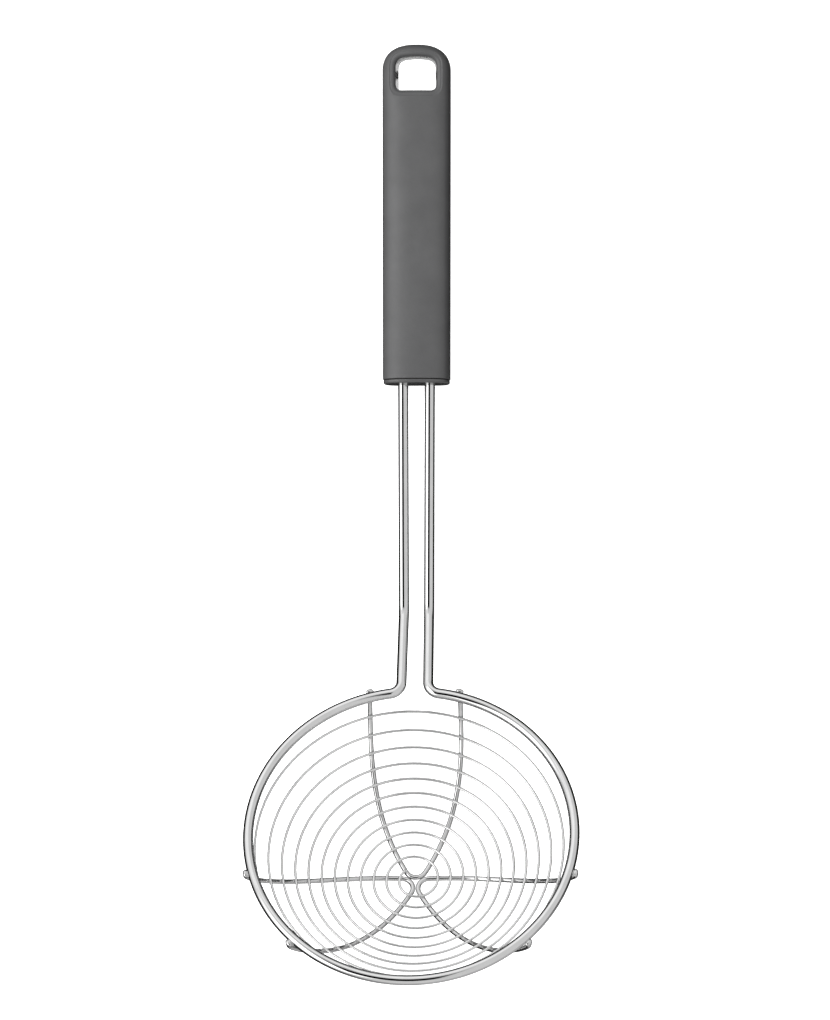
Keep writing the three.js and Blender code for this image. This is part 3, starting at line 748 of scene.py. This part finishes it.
def quadratic(start, control, end):
    """A curve from start to end, drawn towards control: (1-t)^2, 2t(1-t) and t^2 of the three."""
    t = np.linspace(0, 1, CURVE_POINTS)[:, None]
    start, control, end = np.array(start), np.array(control), np.array(end)
    return (1 - t) ** 2 * start + 2 * t * (1 - t) * control + t ** 2 * end


def hole_outline(grow, draft=0):
    """The hole's outline, grown on all sides and narrowed by a draft, in equal steps."""
    width, height = HOLE_HALF_WIDTH + grow - draft, HOLE_HALF_HEIGHT + grow
    upper, lower = HOLE_UPPER_CORNER + grow, HOLE_LOWER_CORNER + grow
    shoulder = height - HOLE_ARCH_RISE
    arch_start, arch_top = shoulder + HOLE_ARCH_RISE / 2, height + HOLE_ARCH_RISE / 2
    arch_x = width - upper
    arch = quadratic([arch_x, arch_start], [0, arch_top], [-arch_x, arch_start])
    right = np.vstack([
        [[0, -height]],
        quadratic([width - lower, -height], [width, -height], [width, lower - height]),
        quadratic([width, shoulder - upper], [width, shoulder], [arch_x, arch_start]),
        arch[1:CURVE_POINTS // 2 + 1],
    ])
    outline = np.vstack([right, right[-2::-1] * [-1, 1]])
    travelled = path_lengths(outline)
    even = np.linspace(0, travelled[-1], HOLE_POINTS, endpoint=False)
    return np.stack([np.interp(even, travelled, outline[:, axis]) for axis in (0, 1)], axis=1)


def hole_ring(grow, depth, height, draft=0):
    """A ring of the hole's outline at a depth under a face of the grip, by its height function."""
    x, y = hole_outline(grow, draft).T
    y = y + HOLE_Y
    surface = height(x, *grip_half_sizes(y))
    return np.stack([x, y, surface - np.sign(surface) * depth], axis=1)


def level_ring(grow, z, draft=0):
    """A ring of the hole's outline at one height."""
    x, y = hole_outline(grow, draft).T
    return np.stack([x, y + HOLE_Y, np.full(len(x), z)], axis=1)


print("hole in mm:", np.round(np.ptp(hole_outline(0), axis=0) / MM, 2))

# %% The grip before it is cut
PARTING_EDGE = 0.4 * MM
EDGE_STEPS, BODY_STEPS, END_STEPS = 6, 70, 44
END_STOP = 0.03

edge_turn = np.linspace(0, math.pi / 2, EDGE_STEPS)
edge_y = GRIP_START + PARTING_EDGE * (1 - np.cos(edge_turn))
edge_inset = PARTING_EDGE * (1 - np.sin(edge_turn))
end_turn = np.linspace(math.pi / 2, END_STOP, END_STEPS)
end_y = GRIP_END - END_LENGTH * (1 - np.cos(end_turn) ** (2 / END_POWER))
grip_y = np.concatenate([edge_y, np.linspace(edge_y[-1], end_y[0], BODY_STEPS)[1:-1], end_y])
grip_inset = np.concatenate([edge_inset, np.zeros(len(grip_y) - len(edge_inset))])
grip_width, grip_thickness = grip_half_sizes(grip_y)
grip = stack("handle_grip_moulding", section_points(
    grip_y, grip_width - grip_inset, grip_thickness - grip_inset, section_angle
))

# %% Its hole, pocket, socket and bores
BEVEL_GROW = np.array([2.5, 2.42, 2.12, 1.95, 1.5, 1.05, 0.66, 0.32, 0.1, 0.0]) * MM
BEVEL_DEPTH = np.array([-0.03, 0.03, 0.42, 0.5, 0.62, 0.92, 1.42, 2.0, 2.5, 2.9]) * MM
HOLE_DRAFT = 0.7 * MM
LINER_WALL = 0.8 * MM
LIP_DEPTH = 3.2 * MM
SOCKET_INSET = 2.3 * MM
SOCKET_FLOOR_Y = 101.1 * MM

beyond = 2 * GRIP_HALF_THICKNESS
bevel = list(zip(BEVEL_GROW, BEVEL_DEPTH))
front_rings = [hole_ring(grow, depth, front_height) for grow, depth in bevel]
back_rings = [hole_ring(grow, depth, back_height, HOLE_DRAFT) for grow, depth in bevel]
hole_cutter = stack("hole", [
    level_ring(BEVEL_GROW[0], beyond), *front_rings,
    *back_rings[::-1], level_ring(BEVEL_GROW[0], -beyond),
])
front_edge, back_edge = hole_ring(0, 0, front_height)[:, 2], hole_ring(0, 0, back_height)[:, 2]
liner_half_depth = min(front_edge.min(), -back_edge.max()) - LIP_DEPTH
pocket_depth = liner_half_depth + EASE
pocket = stack("pocket", [
    level_ring(LINER_WALL + EASE, z) for z in (-pocket_depth, pocket_depth)
])
socket_width, socket_thickness = grip_half_sizes(GRIP_START)
before_grip = GRIP_START - PARTING_EDGE
socket = stack("socket", section_points(
    [before_grip, SOCKET_FLOOR_Y],
    [socket_width - SOCKET_INSET] * 2, [socket_thickness - SOCKET_INSET] * 2, section_angle,
))
tang_bores = bores(before_grip, TANG_END_Y + PARTING_EDGE)
cut_away(grip, [hole_cutter, pocket, socket, *tang_bores])

# %% [markdown]
# ## The sleeve in the hole
# The sleeve is a short metal tube with the hole's outline. Its wall is a thin upright rectangle with
# eased corners, carried round the outline, so the surface is a loop in both directions. The inner
# face leans in towards the back with the hole.

# %% Sleeve
SLEEVE_EDGE = 0.2 * MM
SLEEVE_EDGE_STEPS = 5

edge = np.linspace(0, math.pi / 2, SLEEVE_EDGE_STEPS)
quarter = np.stack([np.cos(edge), np.sin(edge)], axis=1) * SLEEVE_EDGE
upper_out = quarter + [LINER_WALL - SLEEVE_EDGE, liner_half_depth - SLEEVE_EDGE]
upper_in = (quarter * [-1, 1])[::-1] + [SLEEVE_EDGE, liner_half_depth - SLEEVE_EDGE]
upper = np.vstack([upper_out, upper_in])
profile = np.vstack([upper, upper[::-1] * [1, -1]])
depth_share = (1 - profile[:, 1] / liner_half_depth) / 2
drafts = np.where(profile[:, 0] < LINER_WALL / 2, depth_share, 0) * HOLE_DRAFT
sleeve_rings = np.stack([level_ring(grow, z, draft) for (grow, z), draft in zip(profile, drafts)])
vertices, quads, triangles, _ = ring_skin(sleeve_rings, looped=True)
sleeve = new_piece("hang_hole_sleeve", on_table(vertices), quads, triangles)
sleeve.data.set_sharp_from_angle(angle=SHARP_ANGLE)

# %% [markdown]
# ## The end cap
# A separate cap closes the handle where the rods enter. It has the grip's section, set in a little,
# with a rounded lower edge and a plug inside the grip. The thin dark line between the cap and the
# grip is a real gap, so it isn't painted on.

# %% End cap
CAP_TOP_Y = 90.4 * MM
CAP_INSET = 0.25 * MM
CAP_EDGE = 0.8 * MM
CAP_EDGE_STEPS = 10
CAP_TOP_EDGE = 0.2 * MM
PLUG_END_Y = 100.8 * MM
PLUG_INSET = 2.6 * MM

cap_turn = np.linspace(0, math.pi / 2, CAP_EDGE_STEPS)
cap_y = np.concatenate([
    CAP_Y + CAP_EDGE * (1 - np.cos(cap_turn)),
    CAP_TOP_Y - CAP_TOP_EDGE * (1 - np.sin(edge_turn)),
    [CAP_TOP_Y, PLUG_END_Y],
])
cap_inset = np.concatenate([
    CAP_INSET + CAP_EDGE * (1 - np.sin(cap_turn)),
    CAP_INSET + CAP_TOP_EDGE * (1 - np.cos(edge_turn)),
    [PLUG_INSET, PLUG_INSET],
])
cap = stack("handle_end_cap_moulding", section_points(
    cap_y, socket_width - cap_inset, socket_thickness - cap_inset, section_angle
))
cut_away(cap, bores(CAP_Y - CAP_EDGE, PLUG_END_Y + CAP_EDGE))

# %% [markdown]
# ## Polished and drawn steel
# Stainless wire is pulled through a die, which leaves fine lines along it, and the frame is polished
# afterwards. The lines are a noise stretched along the wire's UV map. They change the roughness and
# a very small bump. The reflections do the rest, so the colour is only a grey with faint clouds.

# %% Nodes for a finish
NOISE_LOW, NOISE_HIGH = 0.3, 0.7


def add_node(tree, kind, **values):
    """A node of a kind with values on its sockets, by name."""
    node = tree.nodes.new(kind)
    for socket, value in values.items():
        node.inputs[socket.replace("_", " ")].default_value = value
    return node


def noise(tree, coordinates, scale, detail):
    """A noise over coordinates, with its number of waves to the metre and of finer layers."""
    texture = add_node(tree, "ShaderNodeTexNoise", Scale=scale, Detail=detail)
    tree.links.new(coordinates, texture.inputs["Vector"])
    return texture.outputs["Fac"]


def spread(tree, source, low, high):
    """A noise's middle range mapped to a range of values."""
    mapped = add_node(
        tree, "ShaderNodeMapRange",
        From_Min=NOISE_LOW, From_Max=NOISE_HIGH, To_Min=low, To_Max=high,
    )
    tree.links.new(source, mapped.inputs["Value"])
    return mapped.outputs["Result"]


def tinted(tree, source, dark, light):
    """A noise's middle range mapped to two greys."""
    ramp = tree.nodes.new("ShaderNodeValToRGB")
    low, high = ramp.color_ramp.elements
    low.position, high.position = NOISE_LOW, NOISE_HIGH
    low.color, high.color = (*dark, 1), (*light, 1)
    tree.links.new(source, ramp.inputs["Fac"])
    return ramp.outputs["Color"]


def new_finish(name):
    """A material with its node tree and its shader."""
    material = bpy.data.materials.new(name)
    material.use_nodes = True
    return material, material.node_tree, material.node_tree.nodes["Principled BSDF"]


def dress(tree, shader, colour, roughness, height, bump, depth):
    """Link a colour, a roughness and a bump of some strength and depth to a shader."""
    relief = add_node(tree, "ShaderNodeBump", Strength=bump, Distance=depth)
    tree.links.new(height, relief.inputs["Height"])
    tree.links.new(colour, shader.inputs["Base Color"])
    tree.links.new(roughness, shader.inputs["Roughness"])
    tree.links.new(relief.outputs["Normal"], shader.inputs["Normal"])


# %% Steel
STEEL_CLOUD_SCALE, STEEL_CLOUD_DETAIL = 120.0, 4.0
LINE_DETAIL = 3.0
LINE_DEPTH = 0.02 * MM


def steel(name, greys, roughness, stretch, bump, coordinates="UV"):
    """Metal between two greys, whose roughness and bump follow a noise stretched along the wire."""
    material, tree, shader = new_finish(name)
    shader.inputs["Metallic"].default_value = 1
    place = tree.nodes.new("ShaderNodeTexCoord")
    mapping = add_node(tree, "ShaderNodeMapping", Scale=stretch)
    tree.links.new(place.outputs[coordinates], mapping.inputs["Vector"])
    lines = noise(tree, mapping.outputs["Vector"], 1.0, LINE_DETAIL)
    clouds = noise(tree, place.outputs["Object"], STEEL_CLOUD_SCALE, STEEL_CLOUD_DETAIL)
    colour = tinted(tree, clouds, *((grey, grey, grey) for grey in greys))
    dress(tree, shader, colour, spread(tree, lines, *roughness), lines, bump, LINE_DEPTH)
    print(f"{name}: greys {greys}, roughness {roughness}")
    return material


polished_steel = steel("polished_steel", (0.72, 0.78), (0.06, 0.12), (45, 26, 1), 0.1)
rib_steel = steel("rib_steel", (0.65, 0.75), (0.05, 0.12), (60, 18, 1), 0.15)
drawn_steel = steel("drawn_steel", (0.78, 0.88), (0.14, 0.24), (70, 12, 1), 0.2)
weld_steel = steel("weld_steel", (0.7, 0.82), (0.16, 0.3), (2500, 2500, 2500), 0.3, "Object")
sleeve_metal = steel("sleeve_metal", (0.78, 0.84), (0.22, 0.32), (900, 900, 60), 0.05, "Object")

# %% [markdown]
# ## Moulded plastic
# The handle is a dark grey plastic with a satin skin. The mould's surface was eroded by sparks,
# which leaves a grain of fractions of a millimetre. Two noises on the object's own coordinates make
# it: a fine one for the bump and the roughness, and a broad one for a faint change in the grey. The
# cap is a little darker and glossier than the grip.

# %% Plastic
PLASTIC_SHINE = 0.35
GRAIN_SCALE, GRAIN_DETAIL = 2600.0, 2.0
PLASTIC_CLOUD_SCALE, PLASTIC_CLOUD_DETAIL = 90.0, 5.0
GRAIN_BUMP = 0.18
GRAIN_DEPTH = 0.05 * MM
GRIP_GREYS = (0.056, 0.056, 0.057), (0.066, 0.066, 0.067)
CAP_GREYS = (0.052, 0.052, 0.053), (0.062, 0.062, 0.063)


def moulded_plastic(name, greys, roughness):
    """A satin plastic: a fine grain in its bump and roughness, and faint clouds in its colour."""
    material, tree, shader = new_finish(name)
    shader.inputs["Specular IOR Level"].default_value = PLASTIC_SHINE
    place = tree.nodes.new("ShaderNodeTexCoord").outputs["Object"]
    grain = noise(tree, place, GRAIN_SCALE, GRAIN_DETAIL)
    clouds = noise(tree, place, PLASTIC_CLOUD_SCALE, PLASTIC_CLOUD_DETAIL)
    colour = tinted(tree, clouds, *greys)
    dress(tree, shader, colour, spread(tree, grain, *roughness), grain, GRAIN_BUMP, GRAIN_DEPTH)
    print(f"{name}: greys {greys}, roughness {roughness}")
    return material


satin_grip = moulded_plastic("satin_grip", GRIP_GREYS, (0.34, 0.44))
satin_cap = moulded_plastic("satin_cap", CAP_GREYS, (0.18, 0.26))

# %% [markdown]
# ## Putting the finishes on
# Each piece now gets its finish. It also says which measured solid it stands for, so that the solid
# is hidden and isn't drawn twice. Nothing on the skimmer moves, so all pieces ride on one body.

# %% Every piece gets its finish
HAIRPIN_NODES = "support_wire_handle_side", "support_wire_left", "support_wire_right"

finish_piece(frame_wire, polished_steel, "frame_steel", "frame_wire")
for hairpin, node in zip(hairpins, HAIRPIN_NODES):
    finish_piece(hairpin, rib_steel, "support_steel", node)
finish_piece(spiral, drawn_steel, "spiral_steel", "spiral_wire")
finish_piece(spiral_spots, weld_steel, "spiral_steel")
finish_piece(rim_spots, weld_steel, "support_steel")
finish_piece(grip, satin_grip, "grip_plastic", "handle_grip")
finish_piece(cap, satin_cap, "cap_plastic", "handle_end_cap")
finish_piece(sleeve, sleeve_metal, "liner_steel", "hang_hole_liner")
print("finishes:", [material.name for material in bpy.data.materials if material.users])

# %% [markdown]
# ## The white table
# The skimmer lies on a white table. Only the camera sees it, because a white table in the
# reflections would take away the wires' dark outlines. Cards under it give back what some pieces
# need: two grey ones with a gap between them are mirrored in the sleeve, and a white one lightens
# the end cap from below.

# %% Table and cards
TABLE_SIZE = 6.0
TABLE_GREY, TABLE_GLOW = 0.8, 0.85
CARD_GREY, CARD_GLOW = 0.1, 0.6
PAPER_ROUGHNESS = 0.9
CARD_DROP = 1 * MM
HOLE_CARD_SIZE = 20 * MM
HOLE_CARD_GAP = 3.2 * MM
HOLE_CARD_RISE = 2 * MM
NECK_CARD_SIZE = 60 * MM


def flat_square(name, centre, size, material, seen_by):
    """A level square that belongs to the stage, and the kind of rays that meet it."""
    corners = np.array([[-1, -1, 0], [1, -1, 0], [1, 1, 0], [-1, 1, 0]]) * size / 2 + centre
    mesh = bpy.data.meshes.new(name)
    mesh.from_pydata(corners.tolist(), [], [(0, 1, 2, 3)])
    mesh.materials.append(material)
    square = bpy.data.objects.new(name, mesh)
    bpy.context.scene.collection.objects.link(square)
    square.visible_camera = seen_by == "camera"
    square.visible_glossy = seen_by == "glossy"
    square.visible_diffuse = seen_by == "diffuse"


def glowing(name, grey, strength):
    """A matt paper that is lit from behind: a grey that also gives off a little light."""
    material, _, shader = new_finish(name)
    shader.inputs["Base Color"].default_value = (grey, grey, grey, 1)
    shader.inputs["Roughness"].default_value = PAPER_ROUGHNESS
    shader.inputs["Emission Color"].default_value = (1, 1, 1, 1)
    shader.inputs["Emission Strength"].default_value = strength
    return material


table_white = glowing("table_white", TABLE_GREY, TABLE_GLOW)
card_grey = glowing("card_grey", CARD_GREY, CARD_GLOW)
flat_square("table", [0, 0, 0], TABLE_SIZE, table_white, "camera")
gap_y = on_table([0, HOLE_Y + HOLE_CARD_RISE, 0])[1]
card_reach = (HOLE_CARD_GAP + HOLE_CARD_SIZE) / 2
for place, reach in (("upper", card_reach), ("lower", -card_reach)):
    card_place = [0, gap_y + reach, -CARD_DROP]
    flat_square(f"card_{place}", card_place, HOLE_CARD_SIZE, card_grey, "glossy")
neck_card_y = on_table([0, CAP_Y, 0])[1] - NECK_CARD_SIZE / 2
flat_square("card_neck", [0, neck_card_y, -CARD_DROP], NECK_CARD_SIZE, table_white, "diffuse")
print("the gap between the grey cards lies at y in mm:", round(gap_y / MM, 1))

# %% [markdown]
# ## The tent and its lamp
# Polished wire shows its surroundings as lines along it, so the tent round the table is the most
# important light. It could be a room of panels, but a world that only depends on the direction is
# far away and has no corners. It is light grey, with a white panel on the left and a weaker one
# behind the handle. A dark slit overhead is where the lens looks in, and a fainter dark arm goes on
# from it. Below the horizon it is dark, apart from a weak light low in front. One soft lamp adds
# shape to the plastic, and mirrors don't see it.

# %% Nodes for the tent
tent = bpy.data.worlds.new("tent")
bpy.context.scene.world = tent
tent.use_nodes = True
tent_tree = tent.node_tree
ray_direction = tent_tree.nodes.new("ShaderNodeTexCoord").outputs["Generated"]
direction_parts = tent_tree.nodes.new("ShaderNodeSeparateXYZ")
tent_tree.links.new(ray_direction, direction_parts.inputs["Vector"])


def smooth_step(source, start, end, low, high):
    """A smooth step of a value: low before start, high after end."""
    step = add_node(
        tent_tree, "ShaderNodeMapRange", From_Min=start, From_Max=end, To_Min=low, To_Max=high
    )
    step.interpolation_type = "SMOOTHSTEP"
    tent_tree.links.new(source, step.inputs["Value"])
    return step.outputs["Result"]


def combined(operation, first, second):
    """Two values joined by a sum, a product or a difference."""
    node = tent_tree.nodes.new("ShaderNodeMath")
    node.operation = operation
    for value, socket in zip((first, second), node.inputs):
        if isinstance(value, float):
            socket.default_value = value
        else:
            tent_tree.links.new(value, socket)
    return node.outputs["Value"]


def band(axis, rise_start, rise_end, fall_start, fall_end):
    """One inside a band of one part of the direction, else nothing: a step up times a step down."""
    part = direction_parts.outputs[axis]
    rise = smooth_step(part, rise_start, rise_end, 0.0, 1.0)
    return combined("MULTIPLY", rise, smooth_step(part, fall_start, fall_end, 1.0, 0.0))


def panel(place, inner, outer, strength):
    """Light near a direction and none far from it, by the cosine of the angle to it in degrees."""
    near = tent_tree.nodes.new("ShaderNodeVectorMath")
    near.operation = "DOT_PRODUCT"
    near.inputs[1].default_value = Vector(place).normalized()
    tent_tree.links.new(ray_direction, near.inputs[0])
    inner_cosine, outer_cosine = math.cos(math.radians(inner)), math.cos(math.radians(outer))
    share = smooth_step(near.outputs["Value"], outer_cosine, inner_cosine, 0.0, 1.0)
    return combined("MULTIPLY", share, strength)


def darkened(glow, shade):
    """A glow times one minus a shade."""
    return combined("MULTIPLY", glow, combined("SUBTRACT", 1.0, shade))


# %% Tent
TENT_GREY = 0.74
LEFT_PANEL = (-0.72, -0.2, 0.664), 14, 38, 1.6
END_PANEL = (-0.38, 0.74, 0.55), 8, 40, 0.36
LOW_FRONT_PANEL = (0.4, -0.85, -0.35), 20, 62, 0.5
SLIT_X, SLIT_Y = (-0.58, -0.46, 0.12, 0.24), (-0.5, -0.36, 0.16, 0.4)
ARM_X, ARM_Y = (-0.46, -0.36, -0.22, -0.1), (0.25, 0.4, 0.6, 0.7)
ARM_SHADE = 0.5
HORIZON_START, HORIZON_END = -0.04, 0.14
BELOW_SHARE = 0.03

glow = combined("ADD", combined("ADD", panel(*LEFT_PANEL), panel(*END_PANEL)), TENT_GREY)
slit = combined("MULTIPLY", band("X", *SLIT_X), band("Y", *SLIT_Y))
arm = combined("MULTIPLY", band("X", *ARM_X), band("Y", *ARM_Y))
glow = darkened(darkened(glow, slit), combined("MULTIPLY", arm, ARM_SHADE))
above = smooth_step(direction_parts.outputs["Z"], HORIZON_START, HORIZON_END, BELOW_SHARE, 1.0)
below = darkened(panel(*LOW_FRONT_PANEL), above)
glow = combined("ADD", combined("MULTIPLY", glow, above), below)
background = tent_tree.nodes["Background"]
background.inputs["Color"].default_value = (1, 1, 1, 1)
tent_tree.links.new(glow, background.inputs["Strength"])
bpy.context.scene.view_settings.view_transform = "Standard"
print("nodes in the tent:", len(tent_tree.nodes))

# %% Lamp
LAMP_PLACE = Vector((-1.0, 0.3, 1.95))
LAMP_SIZE = 1.5
LAMP_POWER = 75

lamp_data = bpy.data.lights.new("soft_box", "AREA")
lamp_data.shape = "SQUARE"
lamp_data.size = LAMP_SIZE
lamp_data.energy = LAMP_POWER
lamp = bpy.data.objects.new("soft_box", lamp_data)
lamp.location = LAMP_PLACE
lamp.rotation_euler = LAMP_PLACE.to_track_quat("Z", "Y").to_euler()
lamp.visible_glossy = False
bpy.context.scene.collection.objects.link(lamp)
print("the lamp's distance in m:", round(LAMP_PLACE.length, 2))
